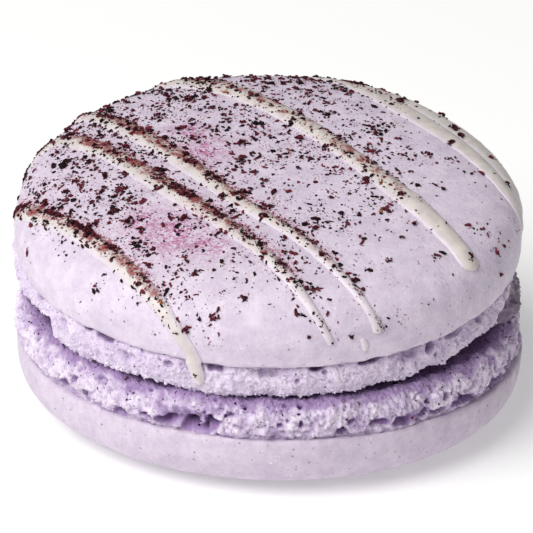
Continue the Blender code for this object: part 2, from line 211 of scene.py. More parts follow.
def moved(shape, rule):
    for vertex in shape.verts:
        vertex.co = rule(vertex.co)


def marked(shape, layer, rule):
    """Moves every point of a shape by a rule, which also gives the value to keep for it in a layer."""
    shape.normal_update()
    for vertex in shape.verts:
        vertex.co, vertex[layer] = rule(vertex.co, vertex.normal)
    shape.normal_update()


def piece_of(name, mesh, material):
    """Makes a finished mesh a piece of the object."""
    mesh.materials.append(material)
    piece = bpy.data.objects.new(name, mesh)
    bpy.context.scene.collection.objects.link(piece)
    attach(piece, "root")
    return piece


def placed(name, shape, place, material):
    """Puts a shape modelled in millimetres in its place, as a piece of the object."""
    bmesh.ops.transform(shape, matrix=Matrix.Scale(MM, 4) @ place, verts=shape.verts)
    mesh = bpy.data.meshes.new(name)
    shape.to_mesh(mesh)
    shape.free()
    mesh.shade_smooth()
    return piece_of(name, mesh, material)


def lower_dome_outline():
    steps = 60
    outline = [(0.0, 5.85), (21.6, 5.85), (22.4, 6.0), (22.8, 6.02)]
    for step in range(steps + 1):
        turn = math.pi / 2 * (1 - step / steps)
        out = math.sin(turn) ** (2 / LOWER_DOME_POWER)
        up = 1 - math.cos(turn) ** (2 / LOWER_DOME_POWER)
        outline.append((REST_RADIUS + (SHELL_RADIUS - REST_RADIUS) * out, LOWER_DOME_HEIGHT * up))
    return outline + [(0.0, 0.0)]


def lower_dome_surface(point):
    if point.z < 0.02:
        return point
    wave = 0.05 * crumb(point, 5.0, 31.0) + 0.03 * crumb(point, 1.6, 33.0) + 0.012 * crumb(point, 0.6, 34.0)
    point = push_out(point, wave - 0.03)
    edge = smooth_step(4.6, 5.9, point.z)
    point.z += edge * (0.14 * crumb(point, 2.0, 35.0) + 0.10 * crumb(point, 0.7, 36.0) - 0.08)
    return point


LOWER_FOOT_LEDGE = ((18.6, 9.3), (19.6, 9.3), (20.6, 9.32), (21.4, 9.4))
LOWER_FOOT_WALL = (
    (21.4, 9.4), (22.0, 9.3), (22.45, 8.9), (22.8, 8.3), (22.95, 7.7), (22.92, 7.1), (22.8, 6.6),
    (22.65, 6.1), (22.4, LOWER_FOOT_BOTTOM),
)


def lower_foot_surface(point, out):
    """The lower foot's crumb, with the uneven, slimmer right side and the higher back of the real one."""
    radius = math.hypot(point.x, point.y)
    if radius < BURIED_RADIUS or point.z < LOWER_FOOT_BOTTOM + 0.02:
        return point, 0.0
    here = way_round(point.x, point.y)
    relief, recess_shade = foot_relief(point, LOWER_HOLLOWS, 1.0)
    settled = 1 - smooth_step(6.3, 7.4, point.z)
    relief = min(relief, 0.06 + 0.6 * (1 - settled))
    bulging = smooth_step(-0.1, 0.4, crumb(push_out(point, 0.0), 3.0, 15.0))
    band = (1 - smooth_step(6.1, 6.6, point.z)) * bulging
    slim = 0.3 * (smooth_step(320, 345, here) + 1 - smooth_step(10, 40, here))
    slim *= smooth_step(6.2, 7.0, point.z)
    share = smooth_step(BURIED_RADIUS, 19.6, radius) * smooth_step(LOWER_FOOT_BOTTOM, 6.1, point.z)
    wall = smooth_step(20.9, 22.4, radius)
    point = point + share * (0.45 + 0.55 * wall) * relief * out
    point = push_out(point, -share * wall * (0.25 * band + slim))
    if point.z > 8.0:
        behind = 0.5 + 0.5 * point.y / SHELL_RADIUS
        point.z += LOWER_FOOT_RISE * behind + 0.25 * crumb(point, 3.0, 9.0)
    point.z = min(point.z, upper_underside(point.x, point.y) - CLEARANCE)
    # partly the crumb's own violet inside, partly painted shade: the ledge under the upper foot is coloured
    # darker, more so nearer the axis
    edge = radius + 0.6 * crumb(point, 1.3, 13.0) + 0.3 * crumb(point, 0.5, 14.0)
    inside_shade = 0.45 * (1 - smooth_step(22.15, 22.95, edge)) + 0.3 * (1 - smooth_step(20.2, 21.6, edge))
    return point, max(recess_shade, inside_shade)


def set_inputs(node, **values):
    """Sets a node's inputs by their names, with _ for each space."""
    for name, value in values.items():
        node.inputs[name.replace("_", " ")].default_value = value


def input_of(tree, kind, **values):
    """A shader node with its inputs set."""
    node = tree.nodes.new(kind)
    set_inputs(node, **values)
    return node


def noise_over(tree, place, **values):
    """Noise at the places that a socket gives, as a socket."""
    node = input_of(tree, "ShaderNodeTexNoise", **values)
    tree.links.new(place, node.inputs["Vector"])
    return node.outputs["Fac"]


def attribute_of(tree, name):
    """What the mesh says at each of its points, as a socket."""
    told = tree.nodes.new("ShaderNodeAttribute")
    told.attribute_name = name
    return told.outputs["Fac"]


def blended(tree, factor, first, second):
    """The colour between two sockets' colours, as a socket."""
    mix = tree.nodes.new("ShaderNodeMix")
    mix.data_type = "RGBA"
    tree.links.new(factor, mix.inputs["Factor"])
    tree.links.new(first, mix.inputs["A"])
    tree.links.new(second, mix.inputs["B"])
    return mix.outputs["Result"]


def sum_of(tree, kind, first, second, third=0.0):
    """A Math node on sockets or numbers, as a socket."""
    node = tree.nodes.new("ShaderNodeMath")
    node.operation = kind
    for i, value in enumerate((first, second, third)):
        if isinstance(value, float):
            node.inputs[i].default_value = value
        else:
            tree.links.new(value, node.inputs[i])
    return node.outputs["Value"]


def ranged(tree, value, low, high, start=0.0, end=1.0):
    """A value's place between low and high, from start to end, as a socket."""
    node = input_of(tree, "ShaderNodeMapRange", From_Min=low, From_Max=high, To_Min=start, To_Max=end)
    tree.links.new(value, node.inputs["Value"])
    return node.outputs["Result"]


def new_group(name, vectors, colours, floats, puts_out):
    """An empty node group with its sockets, and its two ends."""
    group = bpy.data.node_groups.new(name, "ShaderNodeTree")
    for kind, names in (("Vector", vectors), ("Color", colours), ("Float", floats)):
        for socket in names:
            group.interface.new_socket(socket, in_out="INPUT", socket_type="NodeSocket" + kind)
    for socket, kind in puts_out:
        group.interface.new_socket(socket, in_out="OUTPUT", socket_type="NodeSocket" + kind)
    return group, group.nodes.new("NodeGroupInput").outputs, group.nodes.new("NodeGroupOutput").inputs


ALMOND_COLOURS = ("Light", "Shade", "Freckle", "Pale", "Inside", "Shaded Depths")


def almond_finish():
    """Baked almond meringue: blotches, dark and pale freckles, painted shade in hollows and a close grain."""
    group, given, made = new_group(
        "almond meringue", ("Vector",), ALMOND_COLOURS, ("Freckles", "Grain Size", "Deep"),
        (("Color", "Color"), ("Height", "Float")),
    )
    link = group.links.new
    blotch = noise_over(group, given["Vector"], Scale=520.0, Detail=8.0, Roughness=0.76)
    body = blended(group, ranged(group, blotch, 0.38, 0.62), given["Light"], given["Shade"])

    speck = input_of(group, "ShaderNodeTexVoronoi", Scale=2800.0, Randomness=1.0)
    link(given["Vector"], speck.inputs["Vector"])
    pick = group.nodes.new("ShaderNodeSeparateColor")
    link(speck.outputs["Color"], pick.inputs["Color"])
    rare = sum_of(group, "LESS_THAN", pick.outputs["Red"], given["Freckles"])
    reach = sum_of(group, "MULTIPLY_ADD", pick.outputs["Blue"], -0.36, speck.outputs["Distance"])
    dot = ranged(group, reach, -0.12, 0.08, 1.0, 0.0)
    faint = sum_of(group, "MULTIPLY", dot, pick.outputs["Green"])
    dark = blended(group, sum_of(group, "MULTIPLY", rare, faint), body, given["Freckle"])
    pale = sum_of(group, "GREATER_THAN", pick.outputs["Red"], 0.88)
    freckled = blended(group, sum_of(group, "MULTIPLY", pale, faint), dark, given["Pale"])
    # painted shade: the mesh's deep value darkens the colour in recesses
    recess_shade = blended(group, ranged(group, given["Deep"], 0.0, 0.5), freckled, given["Inside"])
    link(blended(group, ranged(group, given["Deep"], 0.5, 1.0), recess_shade, given["Shaded Depths"]), made["Color"])

    grain = noise_over(group, given["Vector"], Detail=4.0, Roughness=0.65)
    link(given["Grain Size"], grain.node.inputs["Scale"])
    link(grain, made["Height"])
    return group


ALMOND_FINISH = almond_finish()


def screen_colour(red, green, blue):
    """A shader colour from its 0 to 255 screen values."""
    shares = [value / 255 for value in (red, green, blue)]
    return (*(s / 12.92 if s < 0.04 else ((s + 0.055) / 1.055) ** 2.4 for s in shares), 1.0)


def new_material(name, **values):
    """A material with its surface's inputs set, and its node tree, base colour and places on the object."""
    material = bpy.data.materials.new(name)
    material.use_nodes = True
    tree = material.node_tree
    surface = tree.nodes["Principled BSDF"]
    set_inputs(surface, **values)
    place = tree.nodes.new("ShaderNodeTexCoord").outputs["Object"]
    return material, tree, surface.inputs["Base Color"], place


def bumped(tree, height, depth):
    """Raises a material's surface by a socket's height, up to a depth in millimetres."""
    relief = input_of(tree, "ShaderNodeBump", Distance=depth * MM)
    tree.links.new(height, relief.inputs["Height"])
    tree.links.new(relief.outputs["Normal"], tree.nodes["Principled BSDF"].inputs["Normal"])


def almond_material(name, colours, freckles, grain_size, bump, roughness, glow):
    """A material with the almond finish, with painted shade where the mesh says the crumb lies deep."""
    material, tree, base, place = new_material(
        name, Roughness=roughness, Specular_IOR_Level=0.35, Subsurface_Weight=glow,
        Subsurface_Radius=(1.0, 0.7, 1.0), Subsurface_Scale=0.4 * MM,
    )
    finish = tree.nodes.new("ShaderNodeGroup")
    finish.node_tree = ALMOND_FINISH
    set_inputs(finish, Freckles=freckles, Grain_Size=grain_size)
    for socket, colour in zip(ALMOND_COLOURS, colours):
        finish.inputs[socket].default_value = screen_colour(*colour)
    tree.links.new(place, finish.inputs["Vector"])
    tree.links.new(attribute_of(tree, "deep"), finish.inputs["Deep"])
    bumped(tree, finish.outputs["Height"], bump)
    tree.links.new(finish.outputs["Color"], base)
    return material


def chips(draw, count, sides, levels, least, most):
    """A few small ragged chips of about unit size, as corners and faces, to be laid down many times."""
    kinds = []
    for _ in range(count):
        chip = bmesh.new()
        bmesh.ops.create_uvsphere(chip, u_segments=sides, v_segments=levels, radius=1.0)
        for vertex in chip.verts:
            vertex.co *= draw.uniform(least, most)
        chip.verts.index_update()
        faces = [[vertex.index for vertex in face.verts] for face in chip.faces]
        kinds.append(([vertex.co.copy() for vertex in chip.verts], faces))
        chip.free()
    return kinds


def heaped(name, laid, place, material, layer):
    """Joins chips to one piece, each given as its kind, its matrix and its value for a layer."""
    corners, faces, values = [], [], []
    for (chip_corners, chip_faces), lie, value in laid:
        first = len(corners)
        corners.extend(lie @ corner for corner in chip_corners)
        faces.extend([first + i for i in face] for face in chip_faces)
        values.extend([value] * len(chip_corners))
    mesh = bpy.data.meshes.new(name)
    mesh.from_pydata(corners, [], faces)
    mesh.transform(Matrix.Scale(MM, 4) @ place)
    mesh.attributes.new(layer, "FLOAT", "POINT").data.foreach_set("value", values)
    return piece_of(name, mesh, material)


def lying(spot, out, draw, size, squash, thick, lean=0.35):
    """A matrix that lays a unit chip at a spot, flat side out, turned and tipped at random."""
    flat = out.to_track_quat("Z", "Y").to_matrix().to_4x4()
    turned = flat @ Matrix.Rotation(draw.uniform(0, math.tau), 4, "Z")
    tipped = turned @ Matrix.Rotation(draw.uniform(-lean, lean), 4, "X")
    return Matrix.Translation(spot) @ tipped @ Matrix.Diagonal((size, size * squash, size * thick, 1.0))


def crumbs_on(shape, draw, kinds, count, sizes, wanted):
    """Loose grains of baked crumb, half set into a foot where wanted, each with the painted shade of its
    place.
    """
    deep = shape.verts.layers.float["deep"]
    faces = [face for face in shape.faces if len(face.verts) < 5 and wanted(face.calc_center_median())]
    laid = []
    for face in draw.choices(faces, k=count):
        size, squash, thick = draw.uniform(*sizes), draw.uniform(0.6, 1.0), draw.uniform(0.6, 1.0)
        lie = lying(face.calc_center_median(), face.normal, draw, size, squash, thick)
        laid.append((draw.choice(kinds), lie, face.verts[0][deep] * draw.uniform(0.75, 1.05)))
    return laid


LOWER_PLACE = Matrix.Translation((AXIS_SHIFT, 0.0, 0.0))
# painted shade: crumb colours for a little way in and for the deepest holes
SHADED_CRUMB_COLOURS = ((162, 132, 182), (80, 54, 92))  # a little way in, and in the deepest holes
SKIN_COLOURS = ((221, 208, 224), (200, 187, 206), (140, 118, 142), (233, 225, 236), *SHADED_CRUMB_COLOURS)
CRUMB_COLOURS = ((243, 232, 246), (214, 197, 225), (92, 62, 96), (252, 248, 253), *SHADED_CRUMB_COLOURS)
GRAIN_COLOURS = ((243, 235, 246), (226, 213, 233), (190, 170, 200), (252, 250, 253), *SHADED_CRUMB_COLOURS)
# painted shade: the lower shell's colours are a darker copy of the upper shell's, for the less light it gets
SHADED_LOWER_SKIN_COLOURS = ((213, 200, 216), (192, 179, 198), (136, 114, 138), (226, 218, 229), *SHADED_CRUMB_COLOURS)
shaded_skin_lilac = almond_material("shaded lilac shell", SHADED_LOWER_SKIN_COLOURS, **SKIN_FINISH)
crumb_lilac = almond_material("lilac crumb", CRUMB_COLOURS, **CRUMB_FINISH)
grain_lilac = almond_material("crumb grains", GRAIN_COLOURS, **GRAIN_FINISH)

shape = spun(lower_dome_outline(), DOME_STEPS)
moved(shape, lower_dome_surface)
lower_dome = placed("lower_dome", shape, LOWER_PLACE, shaded_skin_lilac)
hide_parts("bottom_shell")

draw = random.Random(CRUMB_SEED)
grains = chips(draw, count=10, sides=5, levels=3, least=0.65, most=1.25)
ledge = even_outline(rounded(LOWER_FOOT_LEDGE, 4), 0.14)
wall = even_outline(rounded(LOWER_FOOT_WALL, 4), 0.11)
shape = spun(ledge + wall[1:], FOOT_STEPS)
marked(shape, shape.verts.layers.float.new("deep"), lower_foot_surface)
laid = crumbs_on(
    shape, draw, grains, LOWER_GRAINS, FINE_GRAINS, lambda p: math.hypot(p.x, p.y) > 19.6 and p.z > 5.9,
)
lower_foot = placed("lower_foot", shape, LOWER_PLACE, crumb_lilac)
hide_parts("bottom_shell")
lower_crumbs = heaped("lower_crumbs", laid, LOWER_PLACE, grain_lilac, "deep")
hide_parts("bottom_shell")

# Filling
# Soft pale cream, piped on the lower shell and pressed into a wedge as the upper shell was set on it. It is
# almost hidden at the front. At the right and behind it shows, smooth above and dragged out rough below.
FILLING_RADIUS = 22.3
FILLING_FRONT_RADIUS = 16.5
FILLING_SIDES = 900
FILLING_LEVELS = 36


def column(sides, levels):
    """An upright closed column, one unit in radius and in height, with its wall cut into levels."""
    shape = bmesh.new()
    bmesh.ops.create_cone(
        shape, cap_ends=True, cap_tris=False, segments=sides, radius1=1.0, radius2=1.0, depth=1.0,
        matrix=Matrix.Translation((0.0, 0.0, 0.5)),
    )
    uprights = [edge for edge in shape.edges if abs(edge.verts[0].co.z - edge.verts[1].co.z) > 0.5]
    bmesh.ops.subdivide_edges(shape, edges=uprights, cuts=levels - 1)
    return shape


def pressed_filling(point, out):
    """The cream between the shells, drawn in at the front, and how smooth it is."""
    level = point.z
    angle = math.atan2(point.y, point.x)
    pressed = smooth_step(0.08, 0.7, -math.sin(angle))
    radius = FILLING_RADIUS + (FILLING_FRONT_RADIUS - FILLING_RADIUS) * pressed
    right = 1 - smooth_step(0.3, 1.2, abs(angle))
    radius += 0.25 * math.sin(5 * angle + 1.0) + 0.35 - 0.7 * abs(2 * level - 1) ** 3
    radius -= 0.2 * right + (0.55 + 0.35 * right) * smooth_step(0.15, 0.8, level)
    x, y = radius * math.cos(angle), radius * math.sin(angle)
    floor = LOWER_FOOT_TOP + 0.1
    ceiling = upper_underside(x, y) + 0.05
    point = Vector((x, y, floor + level * (ceiling - floor)))
    if 0.0 < level < 1.0:
        dragged = Vector((x, y, 3.0 * point.z))
        smooth_from = 0.45 + 0.22 * right
        rough = 1 - smooth_step(smooth_from, smooth_from + 0.2, level + 0.2 * crumb(dragged, 3.0, 43.0))
        torn = 0.45 * abs(crumb(point, 0.9, 42.0)) + 0.25 * crumb(point, 0.4, 44.0)
        point = push_out(point, 0.10 * crumb(dragged, 2.2, 41.0) + rough * torn)
        return point, 1 - rough
    return point, level


def toned(tree, value, low, dark, high, light):
    """A colour that goes from dark to light as a socket's value goes from low to high."""
    tone = tree.nodes.new("ShaderNodeValToRGB")
    for end, stop, colour in zip(tone.color_ramp.elements, (low, high), (dark, light)):
        end.position = stop
        end.color = screen_colour(*colour)
    tree.links.new(value, tone.inputs["Fac"])
    return tone.outputs["Color"]


def cream_material():
    """Pale cream where the mesh says that it is smooth, and else the lilac-grey crumb dragged into it, in
    painted shade.
    """
    material, tree, base, place = new_material(
        "pale cream", Roughness=0.5, Subsurface_Weight=0.2, Subsurface_Radius=(1.0, 0.9, 0.7),
        Subsurface_Scale=0.5 * MM,
    )
    drag = input_of(tree, "ShaderNodeMapping", Scale=(1.0, 1.0, 4.0))
    tree.links.new(place, drag.inputs["Vector"])
    streaks = noise_over(
        tree, drag.outputs["Vector"], Scale=620.0, Detail=6.0, Roughness=0.66, Distortion=0.4,
    )
    # painted shade: the dragged crumb is coloured far darker than the crumb itself, for the shadowed gap
    # between the feet
    rough = toned(tree, streaks, 0.38, (94, 78, 101), 0.64, (166, 150, 171))
    smooth = toned(tree, streaks, 0.38, (190, 180, 180), 0.64, (210, 201, 198))
    tree.links.new(blended(tree, attribute_of(tree, "smooth"), rough, smooth), base)
    bumped(tree, streaks, 0.16)
    return material


shape = column(FILLING_SIDES, FILLING_LEVELS)
marked(shape, shape.verts.layers.float.new("smooth"), pressed_filling)
filling = placed("cream_filling", shape, LOWER_PLACE, cream_material())
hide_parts("filling")

# Upper shell
# The upper half, the same meringue, nodding seven degrees to the front. The smooth dome ends in a fine lip,
# and the torn foot stands under it with a ragged lower edge, part of which has broken away at the left.
DOME_RADIUS = 22.7
DOME_HEIGHT = 7.3
DOME_PLAN_POWER = 2.4
DOME_RISE_POWER = 3.8
DOME_LEVELS = 96
SKIN_STEPS = 400  # in the dome's outline, from its top to its lip
FOOT_SHIFT = -0.25
NOTCH_FROM, NOTCH_TO = 194.0, 214.0  # the foot's edge is torn off on a slant between these
NOTCH_HEIGHT = 1.6
UPPER_GRAINS = 6000
EDGE_GRAINS = 900  # larger ones, along the foot's ragged lower edge
COARSE_GRAINS = (0.10, 0.24)
UPPER_PLACE = Matrix.Translation((AXIS_SHIFT, 0.0, 0.0)) @ upper_frame()

# Hollows in the upper foot, as in the lower one, with heights from the lip
UPPER_HOLLOWS = (
    (208.8, -0.8, 0.5, 0.35, 0.5), (219, -1.3, 0.5, 0.35, 0.4), (226.5, -0.5, 0.55, 0.3, 0.7),
    (232, -0.6, 0.95, 0.35, 0.9), (238.6, -1.6, 0.9, 0.5, 0.4), (249, -1.1, 0.5, 0.3, 0.5),
    (259.3, -0.65, 0.7, 0.4, 0.8), (271, -0.75, 1.6, 0.6, 0.4), (272.2, -0.35, 0.5, 0.25, 0.6),
    (281.8, -0.6, 0.75, 0.3, 1.0), (294.5, -0.6, 1.2, 0.32, 0.9), (304.9, -1.0, 1.2, 0.7, 0.5),
    (309.9, -1.0, 0.5, 0.65, 0.9), (317.7, -0.8, 1.0, 0.4, 0.5), (327, -1.1, 0.5, 0.4, 0.5),
    (338, -0.7, 0.9, 0.35, 0.6), (345, -1.2, 1.2, 0.5, 0.5), (12, -0.9, 1.3, 0.5, 0.7),
    (38, -1.3, 1.1, 0.5, 0.6), (63, -0.8, 1.6, 0.4, 0.7), (94, -1.2, 1.2, 0.5, 0.7),
    (121, -0.9, 1.5, 0.4, 0.7), (149, -1.3, 1.0, 0.5, 0.5), (178, -0.9, 1.2, 0.4, 0.6),
)
UPPER_FOOT_TOP = ((20.0, -0.15), (21.6, -0.2), (22.2, -0.4))
UPPER_FOOT_WALL = (
    (22.2, -0.4), (22.5, -0.9), (22.7, -1.5), (22.75, -2.1), (22.6, -2.7), (22.1, -3.2), (21.2, -3.4),
)
UPPER_FOOT_UNDERSIDE = ((21.2, -3.4), (20.0, -3.4))
UPPER_FOOT_INSIDE = ((20.0, -3.4), (18.0, -3.4))


def dome_point(turn):
    """Radius and height of the dome's outline, from the top (0) to the lip (a quarter turn)."""
    return (
        DOME_RADIUS * math.sin(turn) ** (2 / DOME_PLAN_POWER),
        DOME_HEIGHT * max(math.cos(turn), 0.0) ** (2 / DOME_RISE_POWER),
    )


def skin_outline():
    """The dome's outline and the foot's wall below it as (distance along the skin, radius, height)."""
    points = [dome_point(math.pi / 2 * i / SKIN_STEPS) for i in range(SKIN_STEPS + 1)]
    points += [(FOOT_RADIUS + 0.1, -0.5 * i) for i in range(1, 8)]
    outline = [(0.0, *points[0])]
    for (radius, height), (next_radius, next_height) in zip(points, points[1:]):
        length = outline[-1][0] + math.hypot(next_radius - radius, next_height - height)
        outline.append((length, next_radius, next_height))
    return outline


SKIN = skin_outline()
LIP_DISTANCE = SKIN[SKIN_STEPS][0]


def skin_place(distance):
    """Radius, height, run and fall of the skin at a distance along it from the top."""
    low, high = 0, len(SKIN) - 1
    while high - low > 1:
        middle = (low + high) // 2
        low, high = (middle, high) if SKIN[middle][0] <= distance else (low, middle)
    (near, radius, height), (far, next_radius, next_height) = SKIN[low], SKIN[high]
    share = min((distance - near) / (far - near), 1.0)
    run, fall = (next_radius - radius) / (far - near), (next_height - height) / (far - near)
    return radius + share * (next_radius - radius), height + share * (next_height - height), run, fall


def foot_shift(x):
    """How far the foot stands to the left of the dome above it, more so at its right end."""
    return FOOT_SHIFT - 0.45 * smooth_step(19.0, 22.5, x)


def on_skin(across, back, proud=0.0):
    """A point on the upper shell from its place on the skin laid flat, proud of it, and the direction out."""
    radius, height, run, fall = skin_place(math.hypot(across, back))
    direction = Vector((across, back, 0.0)).normalized()
    out = (direction * -fall + Vector((0.0, 0.0, run))).normalized()
    spot = direction * radius
    spot += Vector((foot_shift(spot.x) * smooth_step(0.0, 0.6, -height), 0.0, height))
    return spot + out * proud, out


def flat_place(point):
    """Where a point of the dome lies on the skin laid flat."""
    lying = (math.hypot(point.x, point.y) / DOME_RADIUS) ** (DOME_PLAN_POWER / 2)
    rising = (max(point.z, 0.0) / DOME_HEIGHT) ** (DOME_RISE_POWER / 2)
    distance = SKIN[round(SKIN_STEPS * math.atan2(lying, rising) / (math.pi / 2))][0]
    return Vector((point.x, point.y, 0.0)).normalized() * distance


def upper_dome_surface(point, out):
    """The dome's faint waves and uneven lip, slumped at the left, and each point's place on the flat skin."""
    flat = flat_place(point)
    if point.z < -0.35 or flat.length < 0.5:
        return point, flat
    wave = 0.05 * crumb(point, 6.0, 51.0) + 0.035 * crumb(point, 1.8, 53.0) + 0.014 * crumb(point, 0.7, 54.0)
    lip = 1 - smooth_step(0.1, 1.2, point.z)
    uneven = 0.16 * crumb(point, 2.6, 55.0) + 0.10 * crumb(point, 0.9, 56.0) + 0.05 * crumb(point, 0.4, 57.0)
    here = way_round(point.x, point.y)
    slumped = within(here, 150, 185, 200, 245)
    bulge = 0.28 * slumped * (1 - smooth_step(1.0, 4.5, point.z))
    rise = Vector((point.x / DOME_RADIUS, point.y / DOME_RADIUS, 0.8)).normalized()
    point = push_out(point + wave * rise, bulge)
    point.z += lip * (uneven - 0.12 - 0.28 * slumped)
    return point, flat


def upper_foot_surface(point, out):
    """The upper foot's crumb and its ragged lower edge, torn off at the left and hanging beside that."""
    radius = math.hypot(point.x, point.y)
    # painted shade: the hidden inner underside is coloured deep
    if radius < 18.05:
        return point, 0.8
    here = way_round(point.x, point.y)
    below = smooth_step(0.0, 0.6, -point.z)
    wall = below * smooth_step(20.9, 22.0, radius)
    relief, recess_shade = foot_relief(point, UPPER_HOLLOWS, 3.0, 0.72)
    edge = Vector((point.x, point.y, 0.0))
    ragged = 0.12 * crumb(edge, 0.9, 60.0) + 0.15 * crumb(edge, 0.5, 61.0) + 0.18 * crumb(edge, 0.26, 63.0)
    lower_edge = smooth_step(1.4, FOOT_DROP, -point.z) * smooth_step(19.5, 21.0, radius)
    broken = min(max((here - NOTCH_FROM) / (NOTCH_TO - NOTCH_FROM), 0.0), 1.0)
    broken *= 1 - smooth_step(NOTCH_TO, NOTCH_TO + 0.8, here + 1.2 * crumb(point, 0.8, 64.0))
    # painted shade on the foot's flat underside over the filling
    under = (1 - smooth_step(20.4, 21.9, radius)) * smooth_step(3.0, 3.3, -point.z)
    hanging = within(here, NOTCH_TO, NOTCH_TO + 1.5, 217, 242)
    front = within(here, 238, 255, 285, 305)
    relief = min(relief, 0.06 + 0.3 * smooth_step(0.5, 2.0, -point.z))
    point = point + wall * relief * out
    point.z += lower_edge * (NOTCH_HEIGHT * broken + ragged - 0.18 - 0.7 * hanging - 0.15 * front)
    point.x += foot_shift(point.x) * below
    # painted shade: creases and hollows darker, the whole wall a little darker, the underside darkest
    return point, max(max(0.7 * recess_shade, 0.07) * wall, 0.8 * under)


JUICE_COLOUR = (176, 98, 144)


def powder_finish():
    """Crushed fruit on a colour: fine dark specks, as thick as the dust is, and streaks of pink juice."""
    group, given, made = new_group(
        "fruit powder", ("Vector",), ("Color", "Powder", "Juice"), ("Dust", "Pink", "Cling"),
        (("Color", "Color"),),
    )
    fine = noise_over(group, given["Vector"], Scale=4200.0, Detail=3.0, Roughness=0.6)
    loose = noise_over(group, given["Vector"], Scale=1100.0, Detail=5.0, Roughness=0.65)
    clumps = noise_over(group, given["Vector"], Scale=480.0, Detail=3.0, Roughness=0.6)
    streaked = sum_of(group, "MULTIPLY_ADD", fine, 0.6, sum_of(group, "MULTIPLY", loose, 0.5))
    bleeding = sum_of(group, "MULTIPLY", given["Pink"], ranged(group, streaked, 0.49, 0.60))
    juicy = blended(group, bleeding, given["Color"], given["Juice"])
    lift = sum_of(group, "MULTIPLY_ADD", given["Dust"], 0.22, fine)
    patchy = sum_of(group, "MULTIPLY_ADD", loose, 0.25, lift)
    specks = sum_of(group, "MULTIPLY", ranged(group, patchy, 0.79, 0.92), given["Dust"])
    thick = sum_of(group, "MULTIPLY_ADD", given["Dust"], 0.45, loose)
    stuck = sum_of(group, "MULTIPLY", ranged(group, thick, 0.70, 0.90), ranged(group, clumps, 0.41, 0.54))
    film = sum_of(group, "MULTIPLY", stuck, given["Cling"])
    cover = sum_of(group, "MAXIMUM", specks, film)
    group.links.new(blended(group, cover, juicy, given["Powder"]), made["Color"])
    return group


POWDER_FINISH = powder_finish()


def dusted(material, powder_colour, cling):
    """Lays fruit powder over a material's colour, as thick as the mesh says, and clinging as a film."""
    tree = material.node_tree
    base = tree.nodes["Principled BSDF"].inputs["Base Color"]
    powder = tree.nodes.new("ShaderNodeGroup")
    powder.node_tree = POWDER_FINISH
    set_inputs(powder, Powder=screen_colour(*powder_colour), Juice=screen_colour(*JUICE_COLOUR), Cling=cling)
    tree.links.new(tree.nodes["Texture Coordinate"].outputs["Object"], powder.inputs["Vector"])
    tree.links.new(base.links[0].from_socket, powder.inputs["Color"])
    for name in ("dust", "pink"):
        tree.links.new(attribute_of(tree, name), powder.inputs[name.capitalize()])
    tree.links.new(powder.outputs["Color"], base)
    return material


skin_dusted = almond_material("dusted shell", SKIN_COLOURS, **SKIN_FINISH)
dusted(skin_dusted, (152, 72, 94), 0.14)

dome_outline = [skin_place(LIP_DISTANCE * i / DOME_LEVELS)[:2] for i in range(DOME_LEVELS)]
dome_outline += [(DOME_RADIUS, 0.0), (22.62, -0.18), (22.35, -0.32), (21.9, -0.36), (0.0, -0.36)]
shape = spun(dome_outline, DOME_STEPS)
marked(shape, shape.verts.layers.float_vector.new("flat"), upper_dome_surface)
upper_dome = placed("upper_dome", shape, UPPER_PLACE, skin_dusted)
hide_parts("top_shell")

wall = even_outline(rounded(UPPER_FOOT_WALL, 4), 0.1)
foot_outline = even_outline(UPPER_FOOT_TOP, 0.3) + wall[1:]
foot_outline += even_outline(UPPER_FOOT_UNDERSIDE, 0.2)[1:] + even_outline(UPPER_FOOT_INSIDE, 0.4)[1:]
shape = spun(foot_outline, FOOT_STEPS)
marked(shape, shape.verts.layers.float.new("deep"), upper_foot_surface)
laid = crumbs_on(
    shape, draw, grains, UPPER_GRAINS, FINE_GRAINS, lambda p: math.hypot(p.x, p.y) > 21.2 and p.z < -0.4,
)
laid += crumbs_on(
    shape, draw, grains, EDGE_GRAINS, COARSE_GRAINS, lambda p: math.hypot(p.x, p.y) > 21.0 and p.z < -2.9,
)
upper_foot = placed("upper_foot", shape, UPPER_PLACE, crumb_lilac)
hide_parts("top_shell")
upper_crumbs = heaped("upper_crumbs", laid, UPPER_PLACE, grain_lilac, "deep")
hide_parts("top_shell")

